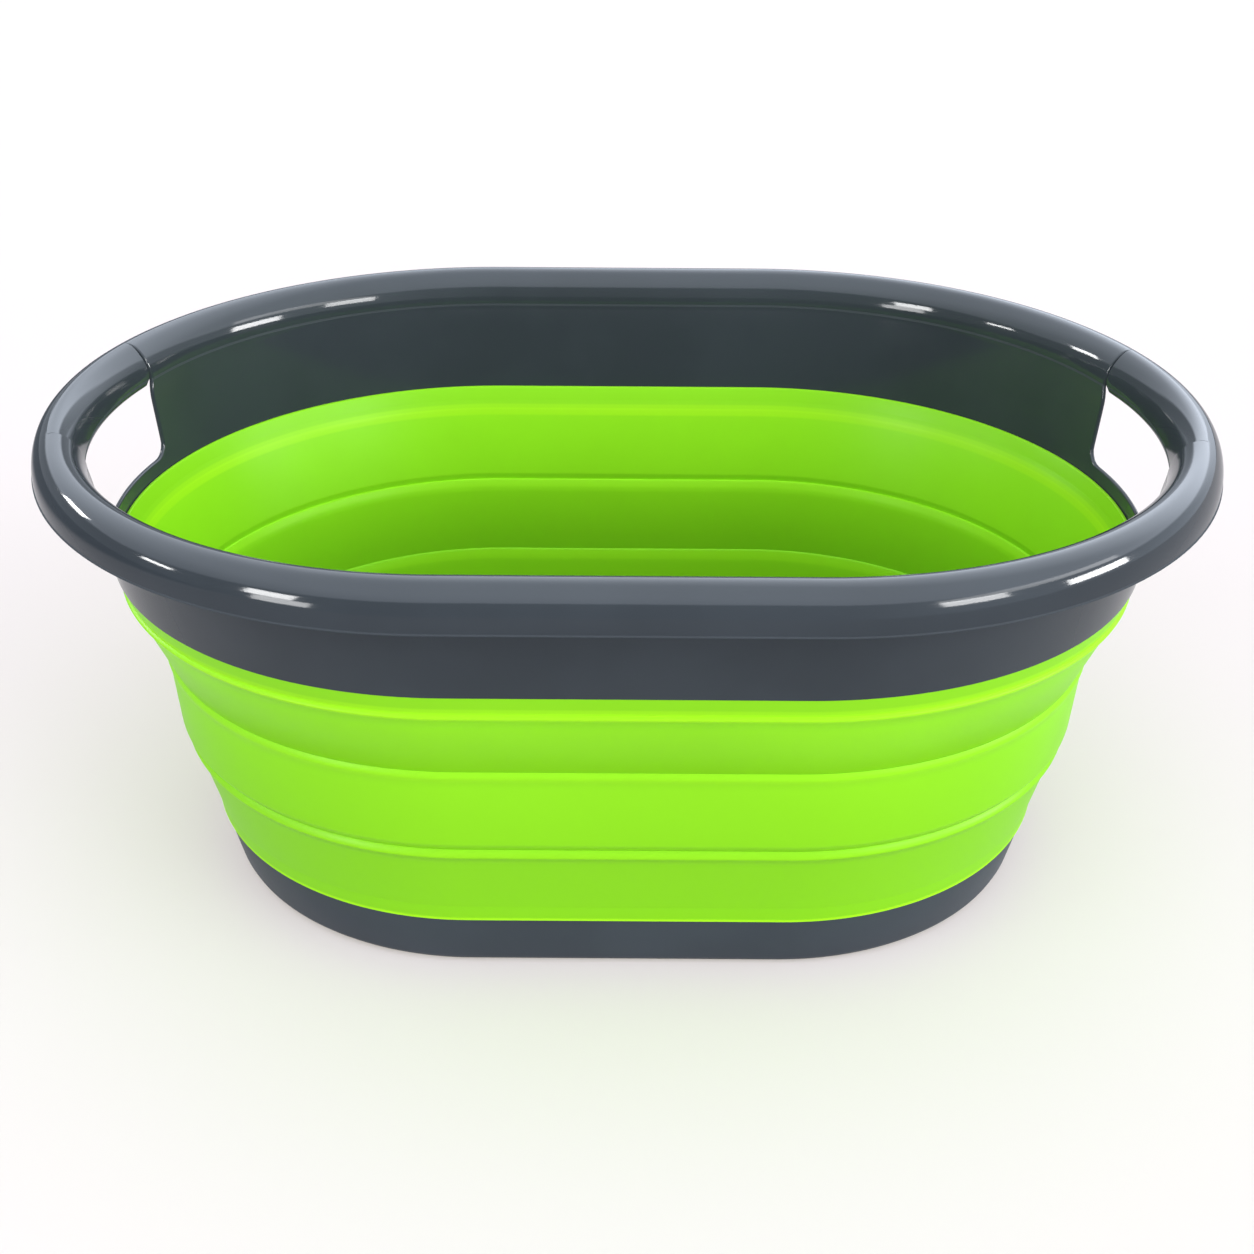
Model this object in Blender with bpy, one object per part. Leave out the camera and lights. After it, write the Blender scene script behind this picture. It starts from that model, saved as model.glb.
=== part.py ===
"""Collapsible laundry basket: a soft folding wall between a moulded base and a moulded rim.

Every piece is a ring round one plan: a straight front and back joined by half ellipses.
A section is a list of (half width, height) points, measured on the straight front, in metres.
The origin is the centre of the base's underside, +X runs along the length and +Z up.
"""

from math import asin, copysign, cos, hypot, pi, radians, sin

import bmesh
import bpy

# Plan
STRAIGHT_HALF = 0.0804
BODY_END_STRETCH = 0.0118
RIM_END_STRETCH = 0.0065
QUARTER_STEPS = 13
HANDLE_STEPS = 6
CORNER_STEPS = 5

# Base tray
FOOT_HALF_WIDTH = 0.1390
BASE_FLARE = 0.0065
BASE_HEIGHT = 0.0358
BASE_WALL = 0.0026
FLOOR_THICKNESS = 0.0030
FOOT_ROUND = 0.0065
FLOOR_ROUND = 0.0100

# Soft wall, from the base upwards
LOWER_FLANGE_HEIGHT = 0.0102
LOWER_FLANGE_FLARE = 0.0018
LOWER_FOLD_HEIGHT = 0.0423
LOWER_FOLD_FLARE = 0.0083
RING_STEP_HEIGHT = 0.0075
RING_STEP_FLARE = 0.0037
RING_HEIGHT = 0.0451
RING_FLARE = 0.0016
UPPER_FOLD_HEIGHT = 0.0441
UPPER_FOLD_FLARE = 0.0157
UPPER_FLANGE_HEIGHT = 0.0110
UPPER_FLANGE_FLARE = 0.0027
RING_WALL = 0.0040
FOLD_WALL = 0.0020
LIP_WALL = 0.0018
LIP_HEIGHT = 0.0036

# Rim frame
COLLAR_HEIGHT = 0.0525
COLLAR_FLARE = 0.0104
COLLAR_WALL = 0.0025
ROLL_WIDTH = 0.0260
ROLL_HEIGHT = 0.0201
ROLL_STEPS = 10

# Handles
OPENING_SILL = 0.0105
OPENING_FOOT_HALF_WIDTH = 0.0510
OPENING_TOP_HALF_WIDTH = 0.0550
OPENING_ROUND = 0.0090
GRIP_HALF_WIDTH = 0.0610
GRIP_WALL = 0.0022
GRIP_SAG = 0.0025
GRIP_LEG = 0.0040
GRIP_SEAM_FROM_CREST = 0.0030
UNDERSIDE_STEPS = 6

# Clearances
SEAM_GAP = 0.0003
CUTTER_SPARE = 0.0060
MERGE_DISTANCE = 0.000001

# Finishes
RIM_GREY = (0.055, 0.072, 0.090)
RIM_ROUGHNESS = 0.20
BASE_GREY = (0.060, 0.076, 0.095)
BASE_ROUGHNESS = 0.35
LIME_GREEN = (0.27, 0.80, 0.028)
RUBBER_ROUGHNESS = 0.38
SHARP_ANGLE = radians(30)

# Heights of the borders
LOWER_FLANGE_FOOT = BASE_HEIGHT
LOWER_FOLD_FOOT = LOWER_FLANGE_FOOT + LOWER_FLANGE_HEIGHT
RING_FOOT = LOWER_FOLD_FOOT + LOWER_FOLD_HEIGHT
RING_TOP = RING_FOOT + RING_STEP_HEIGHT + RING_HEIGHT
UPPER_FLANGE_FOOT = RING_TOP + UPPER_FOLD_HEIGHT
COLLAR_FOOT = UPPER_FLANGE_FOOT + UPPER_FLANGE_HEIGHT
ROLL_FOOT = COLLAR_FOOT + COLLAR_HEIGHT
ROLL_TOP = ROLL_FOOT + ROLL_HEIGHT

# Outer half widths at the borders
BASE_TOP_HALF = FOOT_HALF_WIDTH + BASE_FLARE
LOWER_FOLD_FOOT_HALF = BASE_TOP_HALF + LOWER_FLANGE_FLARE
RING_FOOT_HALF = LOWER_FOLD_FOOT_HALF + LOWER_FOLD_FLARE
RING_BULGE_HALF = RING_FOOT_HALF + RING_STEP_FLARE
RING_TOP_HALF = RING_BULGE_HALF + RING_FLARE
UPPER_FLANGE_FOOT_HALF = RING_TOP_HALF + UPPER_FOLD_FLARE
COLLAR_FOOT_HALF = UPPER_FLANGE_FOOT_HALF + UPPER_FLANGE_FLARE
COLLAR_TOP_HALF = COLLAR_FOOT_HALF + COLLAR_FLARE
ROLL_INNER_HALF = COLLAR_TOP_HALF - COLLAR_WALL
ROLL_CREST_HALF = ROLL_INNER_HALF + ROLL_WIDTH / 2
GRIP_SEAM_HALF = ROLL_CREST_HALF - GRIP_SEAM_FROM_CREST

GRIP_ANGLE = asin(GRIP_HALF_WIDTH / ROLL_CREST_HALF)
SEAT_ANGLE = asin((GRIP_HALF_WIDTH + SEAM_GAP) / ROLL_CREST_HALF)


def clear_scene():
    for obj in list(bpy.data.objects):
        bpy.data.objects.remove(obj)


def material(name, color, roughness):
    made = bpy.data.materials.new(name)
    made.use_nodes = True
    shader = made.node_tree.nodes["Principled BSDF"]
    shader.inputs["Base Color"].default_value = (*color, 1)
    shader.inputs["Roughness"].default_value = roughness
    shader.inputs["Metallic"].default_value = 0
    return made


def end_stretch(height):
    """How much further the ends reach than a half circle, less at the rim than below the collar."""
    share = min(max((height - COLLAR_FOOT) / COLLAR_HEIGHT, 0), 1)
    return BODY_END_STRETCH + (RIM_END_STRETCH - BODY_END_STRETCH) * share


def stretch_ends(mesh):
    """Turns the half circles at the ends into half ellipses."""
    for vert in mesh.verts:
        along = abs(vert.co.x) - STRAIGHT_HALF
        reach = hypot(along, vert.co.y)
        if along > 0 and reach > 0:
            vert.co.x += copysign(along / reach * end_stretch(vert.co.z), vert.co.x)


def edges_between(verts):
    """The edges that join the verts of one loop."""
    held = set(verts)
    return [e for e in {e for v in verts for e in v.link_edges} if set(e.verts) <= held]


def turn(mesh, verts, side, angle, steps):
    """Spins a loop about one end's centre and returns the loop where it stops."""
    spun = bmesh.ops.spin(
        mesh,
        geom=list(verts) + edges_between(verts),
        cent=(side * STRAIGHT_HALF, 0, 0),
        axis=(0, 0, 1),
        angle=angle,
        steps=steps,
    )
    return [g for g in spun["geom_last"] if isinstance(g, bmesh.types.BMVert)]


def run_straight(mesh, verts, distance):
    """Extrudes a loop along the length and returns the loop where it stops."""
    drawn = bmesh.ops.extrude_edge_only(mesh, edges=edges_between(verts))["geom"]
    moved = [g for g in drawn if isinstance(g, bmesh.types.BMVert)]
    bmesh.ops.translate(mesh, verts=moved, vec=(distance, 0, 0))
    return moved


def section_loop(mesh, section, angle=-pi / 2, side=1, closed=True):
    """Draws a section in the upright plane that stands at an angle round one end's centre."""
    verts = [
        mesh.verts.new((side * (STRAIGHT_HALF + half * cos(angle)), side * half * sin(angle), height))
        for half, height in section
    ]
    following = verts[1:] + verts[:1] if closed else verts[1:]
    for a, b in zip(verts, following):
        mesh.edges.new((a, b))
    return verts


def finish(mesh, name, finish_material):
    """Closes the mesh, points its faces outwards and makes it an object."""
    bmesh.ops.remove_doubles(mesh, verts=mesh.verts, dist=MERGE_DISTANCE)
    open_edges = [edge for edge in mesh.edges if len(edge.link_faces) == 1]
    bmesh.ops.holes_fill(mesh, edges=open_edges)
    stretch_ends(mesh)
    bmesh.ops.triangulate(mesh, faces=mesh.faces)
    bmesh.ops.recalc_face_normals(mesh, faces=mesh.faces)
    data = bpy.data.meshes.new(name)
    mesh.to_mesh(data)
    mesh.free()
    data.shade_smooth()
    data.set_sharp_from_angle(angle=SHARP_ANGLE)
    obj = bpy.data.objects.new(name, data)
    bpy.context.scene.collection.objects.link(obj)
    if finish_material:
        data.materials.append(finish_material)
    return obj


def ring(name, section, finish_material, closed=True):
    """The section taken right round the plan. An open section is capped across the plan."""
    mesh = bmesh.new()
    verts = section_loop(mesh, section, closed=closed)
    outer_angle = pi / 2 - GRIP_ANGLE
    for side in (1, -1):
        verts = turn(mesh, verts, side, outer_angle, QUARTER_STEPS)
        verts = turn(mesh, verts, side, 2 * GRIP_ANGLE, HANDLE_STEPS)
        verts = turn(mesh, verts, side, outer_angle, QUARTER_STEPS)
        verts = run_straight(mesh, verts, -2 * side * STRAIGHT_HALF)
    return finish(mesh, name, finish_material)


def handle_sweep(name, section, side, spare_angle, finish_material=None):
    """The section taken round the handle's part of one end, with closed end faces."""
    mesh = bmesh.new()
    verts = section_loop(mesh, section, -GRIP_ANGLE - spare_angle, side)
    if spare_angle:
        verts = turn(mesh, verts, side, spare_angle, 1)
    verts = turn(mesh, verts, side, 2 * GRIP_ANGLE, HANDLE_STEPS)
    if spare_angle:
        turn(mesh, verts, side, spare_angle, 1)
    return finish(mesh, name, finish_material)


def arc(centre, radius, start, stop, steps):
    """Points on a round corner, from one angle to another."""
    turned = [start + (stop - start) * i / steps for i in range(steps + 1)]
    return [(centre[0] + radius * cos(a), centre[1] + radius * sin(a)) for a in turned]


def roll_point(angle, inset=0.0):
    """A point on the roll: angle 0 is its outer lip, a quarter turn its crest and a half turn its inner side."""
    return (
        ROLL_CREST_HALF + (ROLL_WIDTH / 2 - inset) * cos(angle),
        ROLL_FOOT + (ROLL_HEIGHT - inset) * sin(angle),
    )


def roll_arc(start, stop, steps, inset=0.0):
    return [roll_point(start + (stop - start) * i / steps, inset) for i in range(steps + 1)]


def base_tray_section():
    """From the underside up the outer face, over the top edge and down to the floor."""
    foot = arc((FOOT_HALF_WIDTH - FOOT_ROUND, FOOT_ROUND), FOOT_ROUND, -pi / 2, 0, CORNER_STEPS)
    inner_foot_half = FOOT_HALF_WIDTH - BASE_WALL
    corner = (inner_foot_half - FLOOR_ROUND, FLOOR_THICKNESS + FLOOR_ROUND)
    return [
        *foot,
        (BASE_TOP_HALF, BASE_HEIGHT),
        (BASE_TOP_HALF - BASE_WALL, BASE_HEIGHT),
        *arc(corner, FLOOR_ROUND, 0, -pi / 2, CORNER_STEPS),
    ]


def lower_flange_section():
    """The thick band on the base, with a lip that laps down inside the base's wall."""
    shoulder = BASE_HEIGHT + SEAM_GAP
    lip_outer = BASE_TOP_HALF - BASE_WALL - SEAM_GAP
    lip_lean = BASE_FLARE * LIP_HEIGHT / BASE_HEIGHT
    return [
        (BASE_TOP_HALF, shoulder),
        (LOWER_FOLD_FOOT_HALF, LOWER_FOLD_FOOT),
        (LOWER_FOLD_FOOT_HALF - RING_WALL, LOWER_FOLD_FOOT),
        (lip_outer - LIP_WALL, shoulder),
        (lip_outer - LIP_WALL - lip_lean, shoulder - LIP_HEIGHT),
        (lip_outer - lip_lean, shoulder - LIP_HEIGHT),
        (lip_outer, shoulder),
    ]


def fold_section(foot_half, foot, top_half, top):
    """A thin web, a clearance short of the thick rings above and below it."""
    return [
        (foot_half, foot + SEAM_GAP),
        (top_half, top - SEAM_GAP),
        (top_half - FOLD_WALL, top - SEAM_GAP),
        (foot_half - FOLD_WALL, foot + SEAM_GAP),
    ]


def middle_ring_section():
    """The stiff ring between the folds, with a stepped lower edge."""
    step_top = RING_FOOT + RING_STEP_HEIGHT
    return [
        (RING_FOOT_HALF, RING_FOOT),
        (RING_FOOT_HALF, RING_FOOT + RING_STEP_HEIGHT / 2),
        (RING_BULGE_HALF, step_top),
        (RING_TOP_HALF, RING_TOP),
        (RING_TOP_HALF - RING_WALL, RING_TOP),
        (RING_BULGE_HALF - RING_WALL, step_top),
        (RING_FOOT_HALF - RING_WALL, RING_FOOT),
    ]


def upper_flange_section():
    """The thick band under the collar, with a lip that laps up inside the collar."""
    shoulder = COLLAR_FOOT - SEAM_GAP
    lip_outer = COLLAR_FOOT_HALF - COLLAR_WALL - SEAM_GAP
    lip_lean = COLLAR_FLARE * LIP_HEIGHT / COLLAR_HEIGHT
    return [
        (UPPER_FLANGE_FOOT_HALF, UPPER_FLANGE_FOOT),
        (COLLAR_FOOT_HALF, shoulder),
        (lip_outer, shoulder),
        (lip_outer + lip_lean, shoulder + LIP_HEIGHT),
        (lip_outer + lip_lean - LIP_WALL, shoulder + LIP_HEIGHT),
        (lip_outer - LIP_WALL, shoulder),
        (UPPER_FLANGE_FOOT_HALF - RING_WALL, UPPER_FLANGE_FOOT),
    ]


def rim_section():
    """The collar's wall and the roll that turns over from it, open underneath."""
    return [
        (COLLAR_FOOT_HALF, COLLAR_FOOT),
        (COLLAR_TOP_HALF, ROLL_FOOT),
        *reversed(roll_arc(0, pi, ROLL_STEPS, COLLAR_WALL)[:-1]),
        *roll_arc(0, pi, ROLL_STEPS),
        (COLLAR_FOOT_HALF - COLLAR_WALL, COLLAR_FOOT),
    ]


def seam_angle(half, inset):
    """Where on the roll a given half width lies, on its inner side."""
    across = (ROLL_CREST_HALF - half) / (ROLL_WIDTH / 2 - inset)
    return pi / 2 + asin(across)


def grip_section():
    """The inner side of the roll and a rounded underside, hooked inside the roll's outer wall."""
    seam = GRIP_SEAM_HALF - SEAM_GAP
    outer = roll_arc(seam_angle(seam, 0), pi, ROLL_STEPS // 2)
    inner = roll_arc(seam_angle(seam, GRIP_WALL), pi, ROLL_STEPS // 2, GRIP_WALL)
    leg_half = ROLL_CREST_HALF + ROLL_WIDTH / 2 - COLLAR_WALL - 2 * SEAM_GAP
    inner_half = ROLL_INNER_HALF
    middle = (leg_half + inner_half) / 2
    reach = (leg_half - inner_half) / 2
    sagged = [pi + pi * i / UNDERSIDE_STEPS for i in range(1, UNDERSIDE_STEPS)]
    underside = [(middle + reach * cos(a), ROLL_FOOT + GRIP_SAG * sin(a)) for a in sagged]
    inside = reach - GRIP_WALL
    upper = [(middle + inside * cos(a), ROLL_FOOT + GRIP_SAG * sin(a) + GRIP_WALL) for a in sagged]
    return [
        *outer,
        *underside,
        (leg_half, ROLL_FOOT),
        (leg_half, ROLL_FOOT + GRIP_LEG),
        (leg_half - GRIP_WALL, ROLL_FOOT + GRIP_LEG),
        *reversed(upper),
        *reversed(inner[:-1]),
    ]


def seat_section():
    """What is cut from the roll's inner side to make room for a grip."""
    inside = ROLL_INNER_HALF - CUTTER_SPARE
    foot = ROLL_FOOT - GRIP_SAG - SEAM_GAP
    top = ROLL_TOP + CUTTER_SPARE
    return [(inside, foot), (GRIP_SEAM_HALF, foot), (GRIP_SEAM_HALF, top), (inside, top)]


def opening_cutter(name, side):
    """A prism along the length with rounded lower corners, for the hand opening under a grip."""
    sill = COLLAR_FOOT + OPENING_SILL
    top = ROLL_FOOT
    lean = (OPENING_TOP_HALF_WIDTH - OPENING_FOOT_HALF_WIDTH) / (top - sill)
    corner_half = OPENING_FOOT_HALF_WIDTH + lean * OPENING_ROUND - OPENING_ROUND
    corner = arc((corner_half, sill + OPENING_ROUND), OPENING_ROUND, -pi / 2, 0, CORNER_STEPS)
    half_outline = [*corner, (OPENING_TOP_HALF_WIDTH, top)]
    outline = half_outline + [(-y, z) for y, z in reversed(half_outline)]
    start = side * (STRAIGHT_HALF + COLLAR_FOOT_HALF - CUTTER_SPARE - COLLAR_WALL)
    length = side * (ROLL_CREST_HALF - COLLAR_FOOT_HALF + 2 * CUTTER_SPARE + COLLAR_WALL)
    mesh = bmesh.new()
    verts = [mesh.verts.new((start, y, z)) for y, z in outline]
    face = mesh.faces.new(verts)
    drawn = bmesh.ops.extrude_face_region(mesh, geom=[face])["geom"]
    moved = [g for g in drawn if isinstance(g, bmesh.types.BMVert)]
    bmesh.ops.translate(mesh, verts=moved, vec=(length, 0, 0))
    bmesh.ops.recalc_face_normals(mesh, faces=mesh.faces)
    data = bpy.data.meshes.new(name)
    mesh.to_mesh(data)
    mesh.free()
    obj = bpy.data.objects.new(name, data)
    bpy.context.scene.collection.objects.link(obj)
    return obj


def cut(target, cutter):
    """Takes the cutter's shape out of the target and hides the cutter."""
    cutter.hide_render = True
    cutter.display_type = "WIRE"
    modifier = target.modifiers.new(cutter.name, "BOOLEAN")
    modifier.operation = "DIFFERENCE"
    modifier.solver = "EXACT"
    modifier.object = cutter


def body_empty(name, height, parent=None):
    """The slide axis of one moving body: upright, through the middle of the plan."""
    empty = bpy.data.objects.new(name, None)
    empty.empty_display_size = 0.05
    bpy.context.scene.collection.objects.link(empty)
    empty.parent = parent
    empty.location.z = height - (parent.location.z if parent else 0)
    return empty


def carry(obj, empty, height):
    """Parents a piece to a body's empty without moving it in the world."""
    obj.parent = empty
    obj.location.z = -height


def make_rim(plastic):
    frame = ring("rim_frame", rim_section(), plastic)
    seat_spare = SEAT_ANGLE - GRIP_ANGLE
    grips = []
    for side, word in ((-1, "left"), (1, "right")):
        cut(frame, opening_cutter(f"{word}_hand_opening_cutter", side))
        cut(frame, handle_sweep(f"{word}_grip_seat_cutter", seat_section(), side, seat_spare))
        grips.append(handle_sweep(f"{word}_handle_grip", grip_section(), side, 0, plastic))
    return [frame, *grips]


def main():
    clear_scene()
    rim_plastic = material("rim_plastic", RIM_GREY, RIM_ROUGHNESS)
    base_plastic = material("base_plastic", BASE_GREY, BASE_ROUGHNESS)
    soft_green = material("soft_green", LIME_GREEN, RUBBER_ROUGHNESS)

    ring("base_tray", base_tray_section(), base_plastic, closed=False)
    ring("lower_flange", lower_flange_section(), soft_green)
    ring(
        "lower_fold",
        fold_section(LOWER_FOLD_FOOT_HALF, LOWER_FOLD_FOOT, RING_FOOT_HALF, RING_FOOT),
        soft_green,
    )

    ring_slide = body_empty("middle_ring_slide", RING_FOOT)
    carry(ring("middle_ring", middle_ring_section(), soft_green), ring_slide, RING_FOOT)
    upper_fold = ring(
        "upper_fold",
        fold_section(RING_TOP_HALF, RING_TOP, UPPER_FLANGE_FOOT_HALF, UPPER_FLANGE_FOOT),
        soft_green,
    )
    carry(upper_fold, ring_slide, RING_FOOT)

    rim_slide = body_empty("rim_slide", UPPER_FLANGE_FOOT, ring_slide)
    carry(ring("upper_flange", upper_flange_section(), soft_green), rim_slide, UPPER_FLANGE_FOOT)
    for piece in make_rim(rim_plastic):
        carry(piece, rim_slide, UPPER_FLANGE_FOOT)


main()
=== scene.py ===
"""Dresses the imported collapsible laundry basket.

Every ring-shaped piece is one section taken round the same plan: a straight front and back joined
by half ellipses. A section's corner is (half width, height, rounding), measured on the straight
front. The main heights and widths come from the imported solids, and the rest are sizes in metres.
"""

from math import asin, atan2, copysign, cos, hypot, pi, radians, sin, sqrt

import bmesh
import bpy
from bpy.props import FloatProperty, FloatVectorProperty, PointerProperty
from mathutils import Matrix, Vector


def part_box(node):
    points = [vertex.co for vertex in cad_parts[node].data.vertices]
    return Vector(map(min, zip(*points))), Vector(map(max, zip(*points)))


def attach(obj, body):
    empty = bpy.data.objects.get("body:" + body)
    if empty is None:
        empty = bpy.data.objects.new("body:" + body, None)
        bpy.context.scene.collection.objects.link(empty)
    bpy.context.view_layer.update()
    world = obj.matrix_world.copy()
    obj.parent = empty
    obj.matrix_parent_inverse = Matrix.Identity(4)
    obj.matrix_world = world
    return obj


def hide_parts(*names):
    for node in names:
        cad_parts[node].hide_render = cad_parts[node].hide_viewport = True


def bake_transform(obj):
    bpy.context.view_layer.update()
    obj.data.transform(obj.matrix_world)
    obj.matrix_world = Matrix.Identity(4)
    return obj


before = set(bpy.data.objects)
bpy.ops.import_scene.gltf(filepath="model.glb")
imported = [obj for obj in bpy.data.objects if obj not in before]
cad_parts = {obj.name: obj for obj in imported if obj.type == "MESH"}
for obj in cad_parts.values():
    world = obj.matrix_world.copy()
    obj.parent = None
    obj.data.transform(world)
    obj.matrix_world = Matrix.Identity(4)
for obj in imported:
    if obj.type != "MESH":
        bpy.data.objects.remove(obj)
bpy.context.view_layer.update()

bl_info = {
    "name": "Collapsible laundry basket",
    "version": (1, 0, 0),
    "blender": (4, 5, 0),
    "location": "View3D > Sidebar > Basket",
    "description": "Builds the visible pieces of a collapsible laundry basket and its stage",
    "category": "Add Mesh",
}


def half_width(node):
    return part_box(node)[1][1]


def foot(node):
    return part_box(node)[0][2]


def top(node):
    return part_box(node)[1][2]


# The plan: the ends are half ellipses, less stretched at the rim than below the collar.
BODY_END_STRETCH = 0.0118
STRAIGHT_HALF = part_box("base_tray")[1][0] - half_width("base_tray") - BODY_END_STRETCH
RIM_END_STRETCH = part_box("rim_frame")[1][0] - half_width("rim_frame") - STRAIGHT_HALF

# Heights
BASE_TOP = top("base_tray")
RING_FOOT = foot("middle_ring")
UPPER_FLANGE_FOOT = foot("upper_flange")
COLLAR_FOOT = foot("rim_frame")
ROLL_TOP = top("rim_frame")
ROLL_HEIGHT = 0.0201
ROLL_FOOT = ROLL_TOP - ROLL_HEIGHT

# Half widths
FOOT_HALF_WIDTH = 0.1390
UNDERSIDE_HALF_WIDTH = FOOT_HALF_WIDTH - 0.02
FLOOR_HALF_WIDTH = FOOT_HALF_WIDTH - 0.03
ROLL_WIDTH = 0.0260
ROLL_OUTER = half_width("rim_frame")
ROLL_CREST = ROLL_OUTER - ROLL_WIDTH / 2
ROLL_INNER = ROLL_OUTER - ROLL_WIDTH
COLLAR_INNER_FOOT = 0.1768

# How far a grip reaches round the basket's end, from the long axis
GRIP_HALF_WIDTH = 0.061
GRIP_ANGLE = asin(GRIP_HALF_WIDTH / ROLL_CREST)
NEAR_GRIP_ANGLE = GRIP_ANGLE + 0.02
INSIDE_GRIP_ANGLE = GRIP_ANGLE - 0.01

# Angles round the roll, from its outer lip
GRIP_TOP_ANGLE = 1.40
GRIP_TOP_GAP = 0.001
GRIP_RECESS_ANGLES = (1.5, 2.3)

# Sizes of the grips and the hand openings
GRIP_SAG = 0.0032
GRIP_PLAY = 0.0005
OPENING_CORNER = 0.0090
CORNER_SPARE = 0.0009

# How open the grips' seams are along the crest, and the angles round the roll between which they open
SEAM_CLOSED = 0.05
FAR_SEAM_CLOSED = 0.15
NEAR_SEAM_ANGLES = (1.62, 1.95)
FAR_SEAM_ANGLES = (1.45, 2.2)

# Shares of the rim's edge rounding
ROLL_EDGE = 0.1
COLLAR_EDGE = 0.4

# Mesh density
END_STEPS = 38
GRIP_STEPS = 36
OUTER_ROLL_STEPS = 18
INNER_ROLL_STEPS = 24
GRIP_ROLL_STEPS = 30
COLLAR_CUTS = (13, 3)
CORNER_SEGMENTS = 4
MERGE_DISTANCE = 0.000002

# Degrees between faces: shaded as an edge, and rounded
SHARP_ANGLE = 38
ROUNDED_ANGLE = 50


# Shapes


def end_stretch(height):
    share = min(max((height - COLLAR_FOOT) / (ROLL_FOOT - COLLAR_FOOT), 0), 1)
    return BODY_END_STRETCH + (RIM_END_STRETCH - BODY_END_STRETCH) * share


def stretch_ends(bm):
    """Turns the half circles at the ends into half ellipses."""
    for vert in bm.verts:
        along = abs(vert.co.x) - STRAIGHT_HALF
        reach = hypot(along, vert.co.y)
        if along > 0 and reach > 0:
            vert.co.x += copysign(along / reach * end_stretch(vert.co.z), vert.co.x)


def edges_between(verts):
    held = set(verts)
    touching = dict.fromkeys(edge for vert in verts for edge in vert.link_edges)
    return [edge for edge in touching if set(edge.verts) <= held]


def draw_line(bm, before, corners, closed=False):
    """Draws a line through corners on the straight front and rounds them."""
    verts = [bm.verts.new((STRAIGHT_HALF, -half, height)) for half, height, _ in corners]
    route = before + verts + (verts[:1] if closed else [])
    for start, end in zip(route, route[1:]):
        bm.edges.new((start, end))
    for vert, (_, _, rounding) in zip(verts, corners):
        if rounding:
            bmesh.ops.bevel(
                bm,
                geom=[vert],
                offset=rounding,
                offset_type="OFFSET",
                segments=CORNER_SEGMENTS,
                profile=0.5,
                affect="VERTICES",
                material=-1,
            )
    return list(bm.verts)


def turn(bm, verts, side, angle, steps):
    """Spins a section about one end's centre and returns it where it stops."""
    spun = bmesh.ops.spin(
        bm,
        geom=list(verts) + edges_between(verts),
        cent=(side * STRAIGHT_HALF, 0, 0),
        axis=(0, 0, 1),
        angle=angle,
        steps=steps,
    )
    return [part for part in spun["geom_last"] if isinstance(part, bmesh.types.BMVert)]


def run_straight(bm, verts, distance):
    drawn = bmesh.ops.extrude_edge_only(bm, edges=edges_between(verts))["geom"]
    moved = [part for part in drawn if isinstance(part, bmesh.types.BMVert)]
    bmesh.ops.translate(bm, verts=moved, vec=(distance, 0, 0))
    return moved


def take_round(bm, verts):
    """Takes a section right round the plan, with columns that line up with the grips' ends."""
    outer_angle = pi / 2 - GRIP_ANGLE
    for side in (1, -1):
        verts = turn(bm, verts, side, outer_angle, END_STEPS)
        verts = turn(bm, verts, side, 2 * GRIP_ANGLE, GRIP_STEPS)
        verts = turn(bm, verts, side, outer_angle, END_STEPS)
        verts = run_straight(bm, verts, -2 * side * STRAIGHT_HALF)
    bmesh.ops.remove_doubles(bm, verts=bm.verts, dist=MERGE_DISTANCE)


def add_piece(bm, name, finish):
    """Makes the mesh an object at the origin, with its faces outwards and its ends stretched."""
    stretch_ends(bm)
    bmesh.ops.recalc_face_normals(bm, faces=bm.faces)
    mesh = bpy.data.meshes.new(name)
    bm.to_mesh(mesh)
    bm.free()
    mesh.shade_smooth()
    mesh.set_sharp_from_angle(angle=radians(SHARP_ANGLE))
    mesh.materials.append(finish)
    piece = bpy.data.objects.new(name, mesh)
    bpy.context.scene.collection.objects.link(piece)
    return piece


def ring_piece(name, corners, finish):
    bm = bmesh.new()
    take_round(bm, draw_line(bm, [], corners, closed=True))
    return add_piece(bm, name, finish)


def arc_verts(bm, start, stop, steps):
    """Spins one vertex into an arc and flattens it to the roll's ellipse."""
    vert = bm.verts.new((0, -cos(start), sin(start)))
    bmesh.ops.spin(bm, geom=[vert], cent=(0, 0, 0), axis=(-1, 0, 0), angle=stop - start, steps=steps)
    verts = [v for v in bm.verts if v.co.x == 0]
    fit = Matrix.Translation((STRAIGHT_HALF, -ROLL_CREST, ROLL_FOOT))
    fit = fit @ Matrix.Diagonal((1, ROLL_WIDTH / 2, ROLL_HEIGHT, 1))
    bmesh.ops.transform(bm, matrix=fit, verts=verts)
    return verts


# Finishes


class Signal:
    """A node's output that takes Python's own signs. Each sign adds a Math node."""

    def __init__(self, tree, socket):
        self.tree = tree
        self.socket = socket

    def math(self, operation, first, second):
        return self.tree.node("ShaderNodeMath", {"operation": operation}, {0: first, 1: second})

    def __add__(self, other):
        return self.math("ADD", self, other)

    __radd__ = __add__

    def __sub__(self, other):
        return self.math("SUBTRACT", self, other)

    def __rsub__(self, other):
        return self.math("SUBTRACT", other, self)

    def __mul__(self, other):
        return self.math("MULTIPLY", self, other)

    __rmul__ = __mul__


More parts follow.
